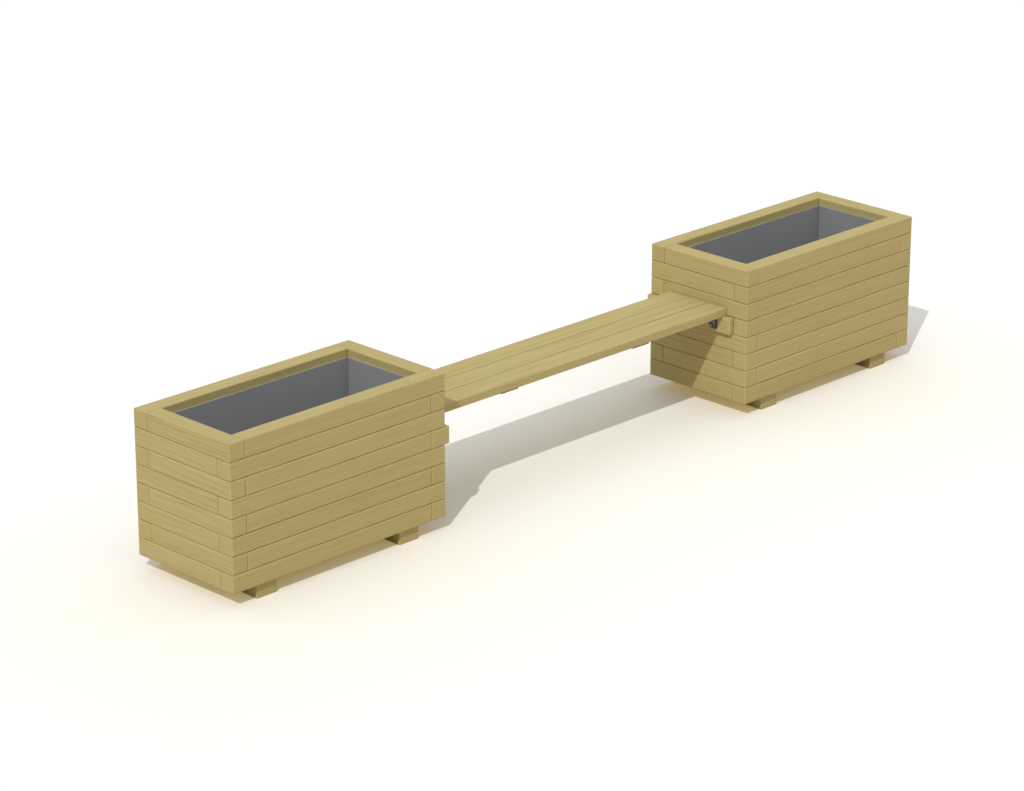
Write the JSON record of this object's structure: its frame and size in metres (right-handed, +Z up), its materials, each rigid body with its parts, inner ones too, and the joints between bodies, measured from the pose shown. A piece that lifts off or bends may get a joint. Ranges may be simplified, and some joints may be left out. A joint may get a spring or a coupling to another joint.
{
  "type": "bench with planters",
  "caption": "Timber bench with a tall planter box at each end and a plank seat resting on ledges between them.",
  "frame": {"origin": "bottom centre of the bench's box, on the ground", "axes": "+X along the bench, +Y from front to back, +Z up"},
  "size_m": [3.713, 0.514, 0.618],
  "materials": {
    "timber_lengthwise": "planed softwood, pressure treated, grain along the bench",
    "timber_crosswise": "planed softwood, pressure treated, grain across the bench",
    "liner_sheet": "grey sheet, matte",
    "bracket_steel": "dark powder coat",
    "zinc_fixings": "bright zinc",
    "dull_screws": "dull grey steel"
  },
  "bodies": {
    "root": {"left_course_1_side_boards": "timber_lengthwise", "left_course_1_end_boards": "timber_crosswise", "left_course_2_side_boards": "timber_lengthwise", "left_course_2_end_boards": "timber_crosswise", "left_course_3_side_boards": "timber_lengthwise", "left_course_3_end_boards": "timber_crosswise", "left_course_4_side_boards": "timber_lengthwise", "left_course_4_end_boards": "timber_crosswise", "left_course_5_side_boards": "timber_lengthwise", "left_course_5_end_board": "timber_crosswise", "left_course_6_side_boards": "timber_lengthwise", "left_course_6_end_boards": "timber_crosswise", "left_course_7_side_boards": "timber_lengthwise", "left_course_7_end_boards": "timber_crosswise", "left_course_8_side_boards": "timber_lengthwise", "left_course_8_end_boards": "timber_crosswise", "left_seat_ledge": "timber_crosswise", "right_course_1_side_boards": "timber_lengthwise", "right_course_1_end_boards": "timber_crosswise", "right_course_2_side_boards": "timber_lengthwise", "right_course_2_end_boards": "timber_crosswise", "right_course_3_side_boards": "timber_lengthwise", "right_course_3_end_boards": "timber_crosswise", "right_course_4_side_boards": "timber_lengthwise", "right_course_4_end_boards": "timber_crosswise", "right_course_5_side_boards": "timber_lengthwise", "right_course_5_end_board": "timber_crosswise", "right_course_6_side_boards": "timber_lengthwise", "right_course_6_end_boards": "timber_crosswise", "right_course_7_side_boards": "timber_lengthwise", "right_course_7_end_boards": "timber_crosswise", "right_course_8_side_boards": "timber_lengthwise", "right_course_8_end_boards": "timber_crosswise", "right_seat_ledge": "timber_crosswise", "left_feet": "timber_crosswise", "right_feet": "timber_crosswise", "left_base_boards": "timber_lengthwise", "right_base_boards": "timber_lengthwise", "left_liner_side_panels": "liner_sheet", "left_liner_end_panels": "liner_sheet", "left_liner_floor": "liner_sheet", "right_liner_side_panels": "liner_sheet", "right_liner_end_panels": "liner_sheet", "right_liner_floor": "liner_sheet", "seat_board_front": "timber_lengthwise", "seat_board_middle": "timber_lengthwise", "seat_board_back": "timber_lengthwise", "seat_batten_left": "timber_crosswise", "seat_batten_right": "timber_crosswise", "seat_brackets": "bracket_steel", "bracket_screws": "dull_screws", "batten_screws": "zinc_fixings", "tie_rods": "zinc_fixings", "tie_rod_inserts": "zinc_fixings", "tie_rod_washers": "zinc_fixings", "tie_rod_nuts": "zinc_fixings", "foot_screws": "zinc_fixings"}
  },
  "joints": []
}
